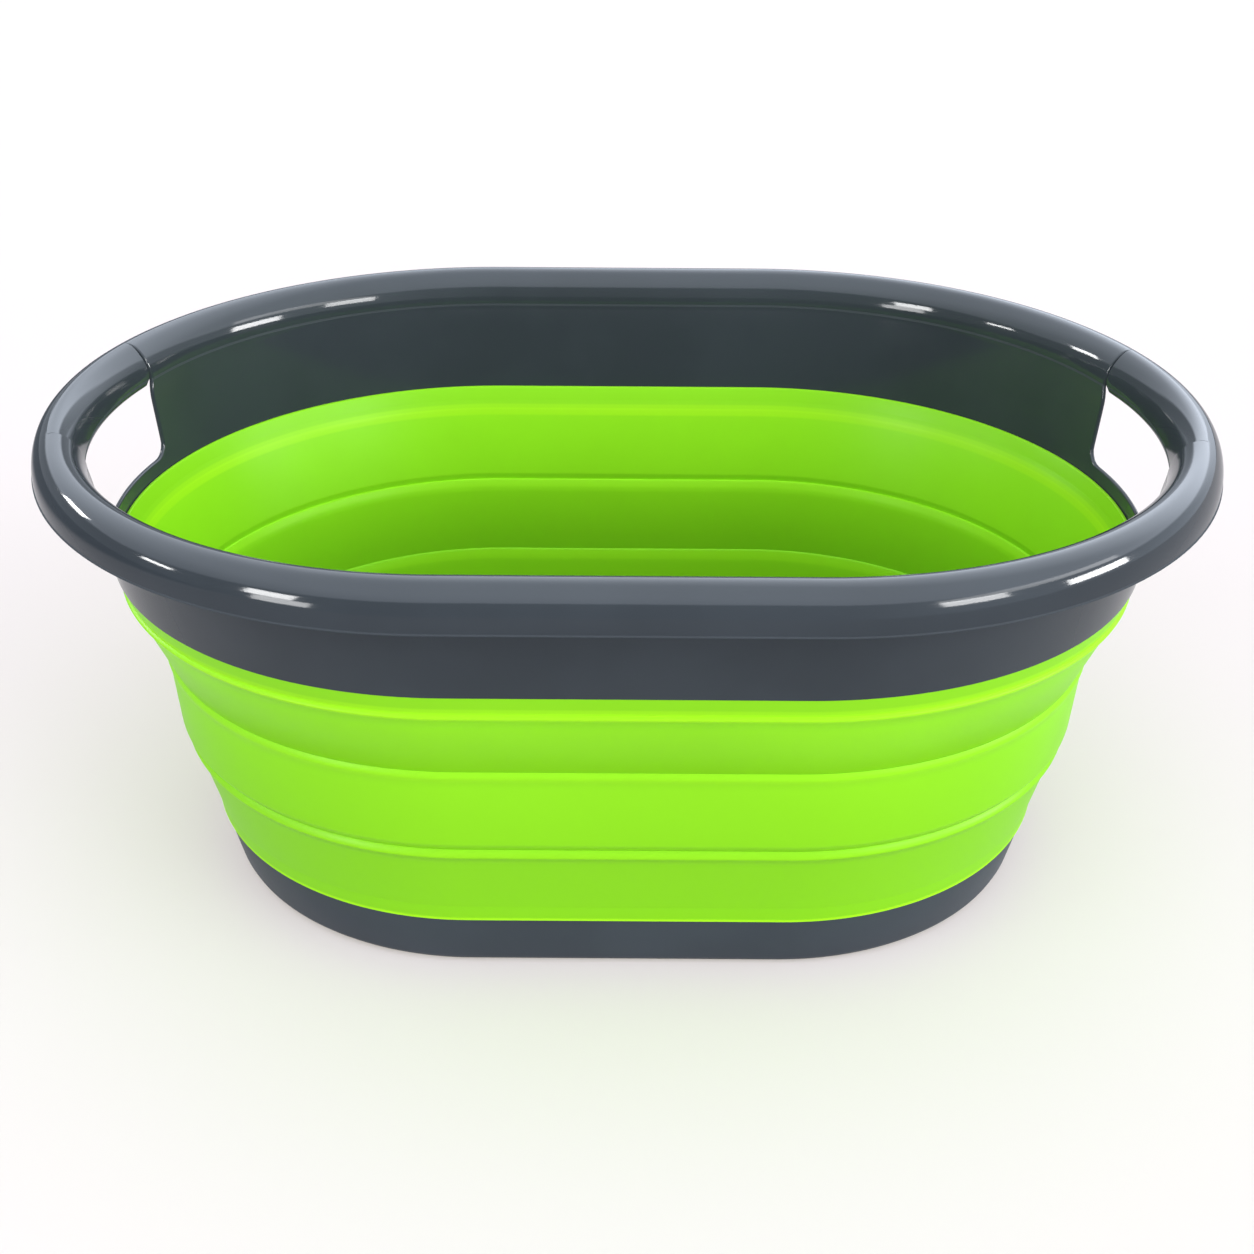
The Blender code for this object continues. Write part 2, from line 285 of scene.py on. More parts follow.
class NodeTree:
    """A material's or the world's nodes, made by one method."""

    def __init__(self, tree):
        self.tree = tree

    def node(self, kind, settings=None, sockets=None, output=0):
        made = self.tree.nodes.new(kind)
        for setting, value in (settings or {}).items():
            setattr(made, setting, value)
        for socket, value in (sockets or {}).items():
            self.feed(made.inputs[socket], value)
        return Signal(self, made.outputs[output])

    def feed(self, socket, value):
        if isinstance(value, Signal):
            self.tree.links.new(value.socket, socket)
        else:
            socket.default_value = value

    def ramp(self, value, low, high, start=0.0, stop=1.0):
        """Eases from start to stop while the value goes from low to high."""
        settings = {"interpolation_type": "SMOOTHSTEP"}
        sockets = {"Value": value, "From Min": low, "From Max": high, "To Min": start, "To Max": stop}
        return self.node("ShaderNodeMapRange", settings, sockets)

    def blend(self, share, first, second):
        return first + (second - first) * share

    def mix(self, share, first, second):
        sockets = {"Factor": share, 6: (*first, 1) if isinstance(first, tuple) else first}
        sockets[7] = (*second, 1) if isinstance(second, tuple) else second
        return self.node("ShaderNodeMix", {"data_type": "RGBA"}, sockets, output=2)


def socket_name(word):
    return word.replace("_", " ").title().replace("Ior", "IOR")


class Finish(NodeTree):
    """A material round one Principled shader, on the piece's own Object coordinates."""

    def __init__(self, name, **constants):
        self.material = bpy.data.materials.new(name)
        self.material.use_nodes = True
        super().__init__(self.material.node_tree)
        self.shader = self.tree.nodes["Principled BSDF"]
        for socket, value in constants.items():
            self.shader.inputs[socket_name(socket)].default_value = value
        self.place = self.node("ShaderNodeTexCoord", output="Object")

    def noise(self, scale, detail, roughness=0.5):
        sockets = {"Vector": self.place, "Scale": scale, "Detail": detail, "Roughness": roughness}
        return self.node("ShaderNodeTexNoise", {}, sockets)

    def height(self):
        return self.node("ShaderNodeSeparateXYZ", {}, {0: self.place}, output=2)

    def seen_directly(self):
        """1 for the camera, reflections and glass, and 0 for light that the floor passes on."""
        path = "ShaderNodeLightPath"
        camera = self.node(path, output="Is Camera Ray")
        glossy = self.node(path, output="Is Glossy Ray")
        glass = self.node(path, output="Is Transmission Ray")
        return self.node("ShaderNodeMath", {"operation": "MAXIMUM"}, {0: camera + glossy, 1: glass})

    def bump(self, height, distance, under=None):
        sockets = {"Height": height, "Distance": distance, "Strength": 1.0}
        if under:
            sockets["Normal"] = under
        return self.node("ShaderNodeBump", {}, sockets)

    def surface(self, **signals):
        for socket, value in signals.items():
            self.feed(self.shader.inputs[socket_name(socket)], value)
        return self.material


def toned(color, share):
    return tuple(channel * share for channel in color)


# How much paler the two greys are in places, and the roughness of the rim's fine bead
PALE_GREY = 1.12
MATTE_BEAD = 0.8


def rim_finish(rim):
    finish = Finish("rim_gloss_plastic", ior=1.5, specular_ior_level=0.22)
    deep = tuple(rim.color)
    light = toned(deep, PALE_GREY)
    cloud = finish.noise(14, 3)
    scuffs = finish.noise(520, 2, 0.6)
    swell = finish.bump(finish.noise(32, 1), 0.00006)
    height = finish.height()
    bead = finish.ramp(height, ROLL_FOOT - rim.lip, ROLL_FOOT)
    bead = bead * finish.ramp(height, ROLL_FOOT + 2 * rim.lip, ROLL_FOOT + 3 * rim.lip, 1.0, 0.0)
    gloss = rim.roughness + 0.03 * cloud + 0.02 * scuffs
    return finish.surface(
        base_color=finish.mix(finish.ramp(cloud, 0.35, 0.65), deep, light),
        roughness=finish.blend(bead, gloss, MATTE_BEAD),
        normal=finish.bump(scuffs, 0.000006, swell),
    )


def base_finish(base):
    finish = Finish("base_satin_plastic", ior=1.5, specular_ior_level=0.15)
    deep = tuple(base.color)
    light = toned(deep, PALE_GREY)
    cloud = finish.noise(12, 3)
    grain = finish.noise(1500, 2, 0.6)
    return finish.surface(
        base_color=finish.mix(finish.ramp(cloud, 0.35, 0.65), deep, light),
        roughness=base.roughness + 0.08 * grain,
        normal=finish.bump(grain, 0.00003),
    )


# Heights of the fold lines, half the height of each, and how much paler the rubber is there, partly its own
# whitening at the folds and partly a painted highlight along the creases
FOLD_WHITENING_AND_HIGHLIGHTS = (
    (0.0367, 0.0007, 0.5),
    (0.0888, 0.0022, 0.1),
    (0.1388, 0.0020, 0.1),
    (0.1838, 0.0016, 0.45),
    (0.1868, 0.0010, 0.3),
)
FOLD_FADE = 0.0012

# The green is mottled, and has painted shade: it is deeper towards the base and on the top flange
MOTTLED_GREEN = 0.94
PAINTED_SHADE_GREEN = 0.82
PAINTED_SHADE_HEIGHTS = (RING_FOOT - 0.013, UPPER_FLANGE_FOOT - 0.005)
FLANGE_SHADE_HEIGHTS = (UPPER_FLANGE_FOOT - 0.002, UPPER_FLANGE_FOOT + 0.005)
FLANGE_SHADE_BRIGHTNESS = 0.35


def rubber_finish(wall):
    finish = Finish("soft_green_rubber", ior=1.5, specular_ior_level=0.1)
    lime = tuple(wall.color)
    whitened_and_highlit_green = tuple(wall.fold_whitening_and_highlight_color)
    dark = toned(lime, MOTTLED_GREEN)
    # deep is the green's painted shade tone
    deep = toned(lime, PAINTED_SHADE_GREEN)
    cloud = finish.noise(10, 3)
    grain = finish.noise(1300, 2, 0.6)
    height = finish.height()
    # The fold lines are paler: partly the rubber's whitening and partly a painted highlight along the
    # creases
    fold_whitening_and_highlight = 0.0
    for line, reach, paler_and_highlit in FOLD_WHITENING_AND_HIGHLIGHTS:
        away = finish.node("ShaderNodeMath", {"operation": "ABSOLUTE"}, {0: height - line})
        fold_whitening_and_highlight = finish.ramp(away, reach * 0.8, reach + FOLD_FADE, paler_and_highlit, 0.0) + fold_whitening_and_highlight
    # Painted shade: the green eases from its deeper tone low down to full green high on the upper web, and
    # turns deeper again on the top flange
    unshaded_share = finish.ramp(height, *PAINTED_SHADE_HEIGHTS)
    unshaded_share = unshaded_share * finish.ramp(height, *FLANGE_SHADE_HEIGHTS, 1.0, FLANGE_SHADE_BRIGHTNESS)
    mottled = finish.mix(finish.ramp(cloud, 0.3, 0.7), lime, dark)
    green = finish.mix(unshaded_share, deep, mottled)
    return finish.surface(
        base_color=finish.mix(fold_whitening_and_highlight * (0.8 + 0.4 * cloud), green, whitened_and_highlit_green),
        roughness=wall.roughness + 0.06 * grain,
        normal=finish.bump(grain, 0.00003),
    )


# Settings


def color_property(name, description, default):
    return FloatVectorProperty(
        name=name, description=description, default=default, subtype="COLOR", size=3, min=0, max=1
    )


def length_property(name, description, default):
    return FloatProperty(name=name, description=description, default=default, min=0, unit="LENGTH")


def share_property(name, description, default):
    return FloatProperty(name=name, description=description, default=default, min=0, max=1, subtype="FACTOR")


def strength_property(name, description, default):
    return FloatProperty(name=name, description=description, default=default, min=0)


class BasketRimSettings(bpy.types.PropertyGroup):
    color: color_property("Rim grey", "Colour of the glossy rim", (0.032, 0.040, 0.0485))
    roughness: share_property("Rim roughness", "Blur of the rim's reflections", 0.05)
    wall: length_property("Rim wall", "Thickness of the collar and the roll", 0.0025)
    edge_round: length_property("Edge rounding", "Largest rounding of the rim's edges", 0.0012)
    lip: length_property("Lip", "Height of the fine bead along the outer edge", 0.0004)
    opening_sill: length_property("Opening sill", "A hand opening's sill over the collar's foot", 0.0105)
    opening_foot: length_property("Opening foot", "Half the hand opening's length at its sill", 0.0510)
    opening_top: length_property("Opening top", "Half the hand opening's length under the roll", 0.0550)
    grip_recess: length_property("Grip recess", "How deep a grip lies under the roll's surface", 0.0011)
    grip_wall: length_property("Grip wall", "Thickness of a handle grip", 0.0020)
    grip_corner: length_property("Grip corner", "Rounding of a grip's lower corners", 0.0030)
    seam_gap: length_property("Seam gap", "Gap between a grip and the rim", 0.0003)


class BasketWallSettings(bpy.types.PropertyGroup):
    color: color_property("Lime green", "Colour of the soft wall", (0.283, 0.765, 0.0143))
    # Paler green along the fold lines: partly the rubber's whitening and partly a painted highlight along
    # the creases
    fold_whitening_and_highlight_color: color_property("Fold green", "Paler green along the fold lines", (0.42, 0.87, 0.014))
    roughness: share_property("Wall roughness", "Blur of the soft wall's reflections", 0.34)


class BasketBaseSettings(bpy.types.PropertyGroup):
    color: color_property("Base grey", "Colour of the base tray", (0.041, 0.051, 0.063))
    roughness: share_property("Base roughness", "Blur of the base's reflections", 0.36)
    wall: length_property("Base wall", "Thickness of the base tray's wall", 0.0026)
    floor: length_property("Base floor", "Thickness of the base tray's floor", 0.0030)
    foot_round: length_property("Foot rounding", "Rounding where the wall meets the ground", 0.0065)
    floor_round: length_property("Floor rounding", "Rounding where the floor meets the wall", 0.0100)


class BasketStageSettings(bpy.types.PropertyGroup):
    floor_color: color_property("Floor", "Colour of the pale floor", (0.54, 0.525, 0.595))
    floor_glow: color_property(
        "Floor glow", "Light that the camera and reflections see in the floor", (0.305, 0.28, 0.22)
    )
    fill: strength_property("Fill", "Strength of the even light from high up", 0.72)
    low_fill: strength_property("Low fill", "Strength of the even light from the horizon", 0.90)
    overhead: strength_property("Overhead light", "Strength of the soft light overhead", 1.00)
    front_left: strength_property("Front left light", "Soft light from the front left", 1.08)
    front_right: strength_property("Front right light", "Soft light from the front right", 0.62)
    right: strength_property("Right light", "Strength of the soft light from the right", 1.90)
    low_left: strength_property("Low left", "Brightness of the sky low on the left", 0.50)
    low_right: strength_property("Low right", "Brightness of the sky low on the right", 1.6)
    middle_left: strength_property("Middle left", "Brightness of the sky at mid height on the left", 2.4)
    high_left: strength_property("High left", "Brightness of the sky high on the left", 4.4)
    high_right: strength_property("High right", "Brightness of the sky high on the right", 4.2)
    glow: strength_property("Glow", "Added brightness of the sky at the back right", 1.8)
    windows: strength_property("Windows", "Scale of the windows' brightness", 1.8)


# Pieces


class BASKET_OT_base_tray(bpy.types.Operator):
    """Builds the rounded base tray with its plain floor"""

    bl_idname = "basket.base_tray"
    bl_label = "Base Tray"

    def execute(self, context):
        base = context.scene.basket_base
        top_half = half_width("base_tray")
        corners = [
            (FOOT_HALF_WIDTH, 0.0, base.foot_round),
            (top_half, BASE_TOP, 0.0008),
            (top_half - base.wall, BASE_TOP, 0.0005),
            (FOOT_HALF_WIDTH - base.wall, base.floor, base.floor_round),
        ]
        bm = bmesh.new()
        underside = (UNDERSIDE_HALF_WIDTH, 0.0, 0.0)
        floor = (FLOOR_HALF_WIDTH, base.floor, 0.0)
        section = [underside, *corners, floor]
        take_round(bm, draw_line(bm, [], section))
        open_edges = [edge for edge in bm.edges if edge.is_boundary]
        bmesh.ops.holes_fill(bm, edges=open_edges)
        piece = add_piece(bm, "base_tray_shell", base_finish(base))
        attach(piece, "base")
        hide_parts("base_tray")
        return {"FINISHED"}


# Corners where two zones of the wall meet, on the outside and on the inside
LOWER_FLANGE_OUT = (0.1474, 0.0464, 0.0)
LOWER_FLANGE_IN = (0.1446, 0.0464, 0.0)
RING_FOOT_OUT = (0.1562, 0.0912, 0.0)
RING_FOOT_IN = (0.1539, 0.0926, 0.0)
RING_TOP_OUT = (0.1609, 0.1418, 0.0)
RING_TOP_IN = (0.1596, 0.1409, 0.0)
UPPER_FLANGE_OUT = (0.1759, 0.1849, 0.0)
UPPER_FLANGE_IN = (0.1723, 0.1907, 0.0)


class BASKET_OT_soft_wall(bpy.types.Operator):
    """Builds the green wall: two thick flanges, the middle ring and the two webs that fold"""

    bl_idname = "basket.soft_wall"
    bl_label = "Soft Wall"

    def execute(self, context):
        green = rubber_finish(context.scene.basket_wall)
        self.lower_flange(green)
        self.lower_fold(green)
        self.middle_ring(green)
        self.upper_fold(green)
        self.upper_flange(green)
        return {"FINISHED"}

    def keep(self, piece, node, body):
        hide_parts(node)
        if body:
            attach(piece, body)

    def lower_flange(self, green):
        corners = [
            (0.1459, 0.0361, 0.0002),
            (0.1466, 0.0365, 0.0003),
            (0.1463, 0.0375, 0.0006),
            LOWER_FLANGE_OUT,
            LOWER_FLANGE_IN,
            (0.1410, 0.0362, 0.0),
            (0.1402, 0.0325, 0.0004),
            (0.1420, 0.0325, 0.0004),
            (0.1425, 0.0361, 0.0),
        ]
        self.keep(ring_piece("lower_flange_band", corners, green), "lower_flange", "base")

    def lower_fold(self, green):
        corners = [
            LOWER_FLANGE_OUT,
            (0.1550, 0.0838, 0.0035),
            (0.1579, 0.0870, 0.0013),
            RING_FOOT_OUT,
            RING_FOOT_IN,
            (0.1531, 0.0919, 0.0005),
            (0.1508, 0.0862, 0.0025),
            LOWER_FLANGE_IN,
        ]
        piece = ring_piece("lower_fold_web", corners, green)
        self.keep(piece, "lower_fold", None)
        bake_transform(piece)

    def middle_ring(self, green):
        corners = [
            RING_FOOT_OUT,
            (0.1589, 0.0951, 0.0006),
            (0.1596, 0.0968, 0.0008),
            (0.1608, 0.1346, 0.0030),
            (0.1622, 0.1388, 0.0014),
            RING_TOP_OUT,
            RING_TOP_IN,
            (0.1587, 0.1406, 0.0004),
            (0.1563, 0.1350, 0.0025),
            (0.1537, 0.0936, 0.0),
            RING_FOOT_IN,
        ]
        self.keep(ring_piece("middle_ring_band", corners, green), "middle_ring", "ring")

    def upper_fold(self, green):
        corners = [
            RING_TOP_OUT,
            (0.1739, 0.1784, 0.0040),
            (0.1777, 0.1836, 0.0012),
            UPPER_FLANGE_OUT,
            UPPER_FLANGE_IN,
            (0.1702, 0.1860, 0.0025),
            (0.1593, 0.1446, 0.0008),
            (0.1596, 0.1424, 0.0003),
            RING_TOP_IN,
        ]
        piece = ring_piece("upper_fold_web", corners, green)
        self.keep(piece, "upper_fold", None)
        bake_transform(piece)

    def upper_flange(self, green):
        corners = [
            UPPER_FLANGE_OUT,
            (0.1790, 0.1957, 0.0004),
            (0.1765, 0.1957, 0.0),
            (0.1768, 0.1986, 0.0004),
            (0.1752, 0.1986, 0.0006),
            UPPER_FLANGE_IN,
        ]
        self.keep(ring_piece("upper_flange_band", corners, green), "upper_flange", "rim")


def collar_half(height):
    """The collar's inner half width at a height."""
    share = (height - COLLAR_FOOT) / (ROLL_FOOT - COLLAR_FOOT)
    return COLLAR_INNER_FOOT + (ROLL_INNER - COLLAR_INNER_FOOT) * share


def place_at(vert, across, height, half):
    """Moves a vert of an end's round to a distance from the basket's long axis."""
    angle = asin(across / half)
    vert.co.x = copysign(STRAIGHT_HALF + half * cos(angle), vert.co.x)
    vert.co.y = across
    vert.co.z = height


def end_angle(point):
    return atan2(point.y, abs(point.x) - STRAIGHT_HALF)


def roll_angle(point):
    """Where a point lies round the roll: 0 at its outer lip, a quarter turn at its crest."""
    half = hypot(abs(point.x) - STRAIGHT_HALF, point.y)
    return atan2((point.z - ROLL_FOOT) / ROLL_HEIGHT, (half - ROLL_CREST) * 2 / ROLL_WIDTH)


def smooth_step(value, low, high):
    share = min(max((value - low) / (high - low), 0), 1)
    return share * share * (3 - 2 * share)


def seam_depth(point):
    """How open a seam is at a point: nearly closed along the crest, and on the near side for longer."""
    angle = roll_angle(point)
    if point.z < ROLL_FOOT:
        return 1.0
    if point.y < 0:
        return SEAM_CLOSED + (1 - SEAM_CLOSED) * smooth_step(angle, *NEAR_SEAM_ANGLES)
    return FAR_SEAM_CLOSED + (1 - FAR_SEAM_CLOSED) * smooth_step(angle, *FAR_SEAM_ANGLES)


def weigh_edges(bm, weigh):
    """Gives every sharp edge a share of the rounding that the Bevel modifier adds."""
    weights = bm.edges.layers.float.new("bevel_weight_edge")
    for edge in bm.edges:
        if edge.calc_face_angle(0) > radians(ROUNDED_ANGLE):
            edge[weights] = weigh((edge.verts[0].co + edge.verts[1].co) / 2)


def round_edges(piece, rounding):
    bevel = piece.modifiers.new("rounded_edges", "BEVEL")
    bevel.width = rounding
    bevel.segments = 3
    bevel.limit_method = "WEIGHT"
    bevel.use_clamp_overlap = True
    normals = piece.modifiers.new("even_normals", "WEIGHTED_NORMAL")
    normals.keep_sharp = True


class BASKET_OT_rim_frame(bpy.types.Operator):
    """Builds the collar and its roll, with the hand openings and the seats of the grips"""

    bl_idname = "basket.rim_frame"
    bl_label = "Rim Frame"

    def execute(self, context):
        rim = context.scene.basket_rim
        bm = bmesh.new()
        take_round(bm, self.section(bm, rim))
        self.open_handles(bm, rim)
        bmesh.ops.recalc_face_normals(bm, faces=bm.faces)
        bmesh.ops.solidify(bm, geom=list(bm.faces), thickness=rim.wall)
        self.raise_lip(bm, rim)
        bmesh.ops.recalc_face_normals(bm, faces=bm.faces)
        weigh_edges(bm, self.edge_weight)
        piece = add_piece(bm, "rim_frame_shell", rim_finish(rim))
        round_edges(piece, rim.edge_round)
        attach(piece, "rim")
        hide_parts("rim_frame")
        return {"FINISHED"}

    def section(self, bm, rim):
        """One line from the outer lip over the roll and down the collar's inner side."""
        rows = [(ROLL_OUTER, ROLL_FOOT + height) for height in (0.0, rim.lip, 2 * rim.lip)]
        arc_verts(bm, asin(2 * rim.lip / ROLL_HEIGHT), GRIP_TOP_ANGLE, OUTER_ROLL_STEPS)
        arc_verts(bm, GRIP_TOP_ANGLE, pi, INNER_ROLL_STEPS)
        spans = [(lower, upper, 0) for lower, upper in zip(rows, rows[1:])]
        rows = [(collar_half(z), z) for z in (ROLL_FOOT, COLLAR_FOOT + rim.opening_sill, COLLAR_FOOT)]
        spans += [(*ends, cuts) for *ends, cuts in zip(rows, rows[1:], COLLAR_CUTS)]
        for upper, lower, cuts in spans:
            ends = [bm.verts.new((STRAIGHT_HALF, -half, height)) for half, height in (upper, lower)]
            edge = bm.edges.new(ends)
            if cuts:
                bmesh.ops.subdivide_edges(bm, edges=[edge], cuts=cuts)
        for vert in bm.verts:
            outwards = max((-vert.co.y - ROLL_CREST) * 2 / ROLL_WIDTH, 0)
            vert.co.y += rim.lip * outwards**2
        bmesh.ops.remove_doubles(bm, verts=bm.verts, dist=MERGE_DISTANCE * 5)
        return list(bm.verts)

    def raise_lip(self, bm, rim):
        """Pushes the lowest rows out to a fine bead along the outer edge."""
        for vert in bm.verts:
            half = hypot(max(abs(vert.co.x) - STRAIGHT_HALF, 0), vert.co.y)
            if half > ROLL_OUTER - 2 * rim.lip and vert.co.z < ROLL_FOOT + 1.5 * rim.lip:
                middle = Vector((copysign(min(abs(vert.co.x), STRAIGHT_HALF), vert.co.x), 0, vert.co.z))
                vert.co += (vert.co - middle).normalized() * (ROLL_OUTER - half)

    def edge_weight(self, point):
        on_end = abs(point.x) > STRAIGHT_HALF and abs(end_angle(point)) < NEAR_GRIP_ANGLE
        if point.z > ROLL_FOOT and not on_end:
            return ROLL_EDGE
        if point.z < COLLAR_FOOT + 0.001 or not on_end:
            return COLLAR_EDGE
        if point.z > ROLL_FOOT and abs(end_angle(point)) < INSIDE_GRIP_ANGLE:
            return SEAM_CLOSED
        return seam_depth(point)

    def open_handles(self, bm, rim):
        sill = COLLAR_FOOT + rim.opening_sill
        gone = []
        for face in bm.faces:
            middle = face.calc_center_median()
            if abs(end_angle(middle)) > GRIP_ANGLE or abs(middle.x) < STRAIGHT_HALF:
                continue
            if middle.z > ROLL_FOOT and roll_angle(middle) > GRIP_TOP_ANGLE or sill < middle.z < ROLL_FOOT:
                gone.append(face)
        bmesh.ops.delete(bm, geom=gone, context="FACES")
        for vert in bm.verts:
            self.shape_opening(vert, rim, sill)

    def shape_opening(self, vert, rim, sill):
        """Draws the opening's straight sides and rounded corners into the columns and rows."""
        angle = end_angle(vert.co)
        share = angle / GRIP_ANGLE
        height = vert.co.z
        if abs(vert.co.x) < STRAIGHT_HALF or abs(share) > 1.001 or height > ROLL_FOOT - MERGE_DISTANCE:
            return
        half = collar_half(height)
        regular = half * sin(GRIP_ANGLE)
        if height < sill - MERGE_DISTANCE:
            blend = (height - COLLAR_FOOT) / (sill - COLLAR_FOOT)
            reach = regular + (rim.opening_foot - regular) * blend
            place_at(vert, share * reach, height, half)
            return
        up = (height - sill) / (ROLL_FOOT - sill)
        reach = rim.opening_foot + (rim.opening_top - rim.opening_foot) * up
        top_quarter = max(up * 4 - 3, 0)
        reach += (ROLL_INNER * sin(GRIP_ANGLE) - rim.opening_top) * top_quarter**2
        across = abs(share) * reach
        centre = (rim.opening_foot + CORNER_SPARE - OPENING_CORNER, sill + OPENING_CORNER)
        if across > centre[0] and height < centre[1]:
            away = hypot(across - centre[0], height - centre[1])
            across = centre[0] + (across - centre[0]) * OPENING_CORNER / away
            height = centre[1] + (height - centre[1]) * OPENING_CORNER / away
        place_at(vert, copysign(across, vert.co.y), height, collar_half(height))


class BASKET_OT_handle_grips(bpy.types.Operator):
    """Builds the two grips that close the roll over the hand openings"""

    bl_idname = "basket.handle_grips"
    bl_label = "Handle Grips"

    def execute(self, context):
        rim = context.scene.basket_rim
        finish = bpy.data.materials.get("rim_gloss_plastic") or rim_finish(rim)
        for side, word in ((-1, "left"), (1, "right")):
            piece = self.grip(rim, side, f"{word}_grip_shell", finish)
            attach(piece, "rim")
            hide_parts(f"{word}_handle_grip")
        return {"FINISHED"}

    def grip(self, rim, side, name, finish):
        bm = bmesh.new()
        verts = self.section(bm, rim)
        matrix = Matrix.Rotation(pi / 2 - GRIP_ANGLE, 3, "Z")
        bmesh.ops.rotate(bm, verts=verts, cent=(STRAIGHT_HALF, 0, 0), matrix=matrix)
        turn(bm, verts, 1, 2 * GRIP_ANGLE, GRIP_STEPS)
        for vert in bm.verts:
            self.round_corner(vert, rim)
            self.open_seam(vert, rim)
        bmesh.ops.recalc_face_normals(bm, faces=bm.faces)
        bmesh.ops.solidify(bm, geom=list(bm.faces), thickness=rim.grip_wall)
        if side < 0:
            bmesh.ops.scale(bm, verts=bm.verts, vec=(-1, 1, 1))
        bmesh.ops.recalc_face_normals(bm, faces=bm.faces)
        weigh_edges(bm, self.edge_weight)
        piece = add_piece(bm, name, finish)
        round_edges(piece, rim.edge_round / 2)
        return piece

    def edge_weight(self, point):
        if abs(end_angle(point)) < INSIDE_GRIP_ANGLE and point.z > ROLL_FOOT + 0.002:
            return SEAM_CLOSED
        return seam_depth(point)

    def section(self, bm, rim):
        """One line from the crest down the inner side and back under the roll."""
        verts = arc_verts(bm, GRIP_TOP_ANGLE + GRIP_TOP_GAP, pi, GRIP_ROLL_STEPS)
        for vert in verts:
            angle = roll_angle(Vector((STRAIGHT_HALF, vert.co.y, vert.co.z)))
            depth = rim.grip_recess * smooth_step(angle, *GRIP_RECESS_ANGLES)
            vert.co.y += depth * cos(angle)
            vert.co.z -= depth * sin(angle)
        last = min(verts, key=lambda v: v.co.z)
        inner = -last.co.y
        leg = ROLL_OUTER - rim.wall - GRIP_PLAY
        route = [
            (inner + 0.0002, ROLL_FOOT - GRIP_SAG, 0.0022),
            (inner + 0.0060, ROLL_FOOT - 0.0026, 0.0030),
            (leg - 0.0050, ROLL_FOOT - 0.0008, 0.0020),
            (leg, ROLL_FOOT + 0.0012, 0.0010),
            (leg, ROLL_FOOT + 0.0060, 0.0),
        ]
        draw_line(bm, [last], route)
        return list(bm.verts)

    def open_seam(self, vert, rim):
        """Draws the grip's ends back from the rim, by the seam's gap."""
        gap = rim.seam_gap * seam_depth(vert.co) / ROLL_INNER
        half = hypot(vert.co.x - STRAIGHT_HALF, vert.co.y)
        angle = end_angle(vert.co) * (1 - gap / GRIP_ANGLE)
        vert.co.x = STRAIGHT_HALF + half * cos(angle)
        vert.co.y = half * sin(angle)

    def round_corner(self, vert, rim):
        """Lifts the lower edge towards the grip's ends, as a rounded corner."""
        corner = rim.grip_corner
        half = hypot(vert.co.x - STRAIGHT_HALF, vert.co.y)
        from_end = (GRIP_ANGLE - abs(end_angle(vert.co))) * ROLL_INNER
        if half > ROLL_CREST or from_end > corner:
            return
        lift = corner - sqrt(max(corner**2 - (corner - from_end) ** 2, 0))
        share = 1 - smooth_step(vert.co.z, ROLL_FOOT - GRIP_SAG, ROLL_FOOT + 4 * GRIP_SAG)
        vert.co.z += lift * share


# Stage
FLOOR_REACH = 12.0
COOL_SKY = (0.92, 1.0, 1.14)
WHITE = (1.0, 1.0, 1.0)
BLACK = (0.0, 0.0, 0.0)

# The floor that the rim reflects: dark far behind and to the left, and a share of that elsewhere
DARK_FLOOR = (0.10, 0.11, 0.13)
DARK_FLOOR_ELSEWHERE = 0.3
DARK_FLOOR_SLANT = 0.8
DARK_FLOOR_FADE = (0.9, 1.5)

# Heights of the even light, as sines
EVEN_LIGHT_HEIGHTS = (0.0, 0.7)

# The sky that the rim reflects: heights and turns from left to right as sines, and the glow in degrees
LOW_SKY = (0.22, 0.29)
LOW_SKY_SLANT = 0.25
LOW_SKY_TURN = (-0.2, 0.8)
HIGH_SKY = (0.3, 0.8)
HIGH_SKY_TURN = (-1.0, 1.0)
GLOW_CENTRE = (35, 42)
GLOW_EDGE = 45
GLOW_CORE = 10

# Name, azimuth from the back towards the right, elevation, width in degrees
BROAD_LIGHTS = (
    ("overhead_light", 170, 76, 75),
    ("front_left_light", -128, 18, 60),
    ("front_right_light", 145, 18, 60),
    ("right_light", 114, 14, 50),
)

WINDOW_DISTANCE = 8.0

# Name, azimuth, elevation, width and height in degrees, brightness
WINDOWS = (
    ("front_left_window", -135, 14.5, 12, 9, 24),
    ("front_left_sill", -138.5, 5.5, 14, 8, 12),
    ("left_window", -104.5, 11.0, 9, 3.5, 24),
    ("back_left_window", -69, 16.5, 11, 5, 26),
    ("right_window", 104.5, 6.5, 18, 9, 24),
    ("front_right_window", 137, 14.5, 16, 9, 16),
    ("right_glow", 120, 21, 50, 7, 4),
)

# The photograph's camera: focal length and centre line in pixels, place in metres, angles in radians
PHOTO_WIDTH = 1254
PHOTO_FOCAL_LENGTH = 1468.8
PHOTO_CENTRE = 626.2
CAMERA_PLACE = (0, -0.7130, 0.5570)
CAMERA_PITCH = 0.5454
CAMERA_ROLL = 0.0068
SENSOR_WIDTH = 36


def direction(azimuth, elevation):
    """Points from the basket: azimuth 0 is the back and 90 the right."""
    along, up = radians(azimuth), radians(elevation)
    return Vector((sin(along) * cos(up), cos(along) * cos(up), sin(up)))


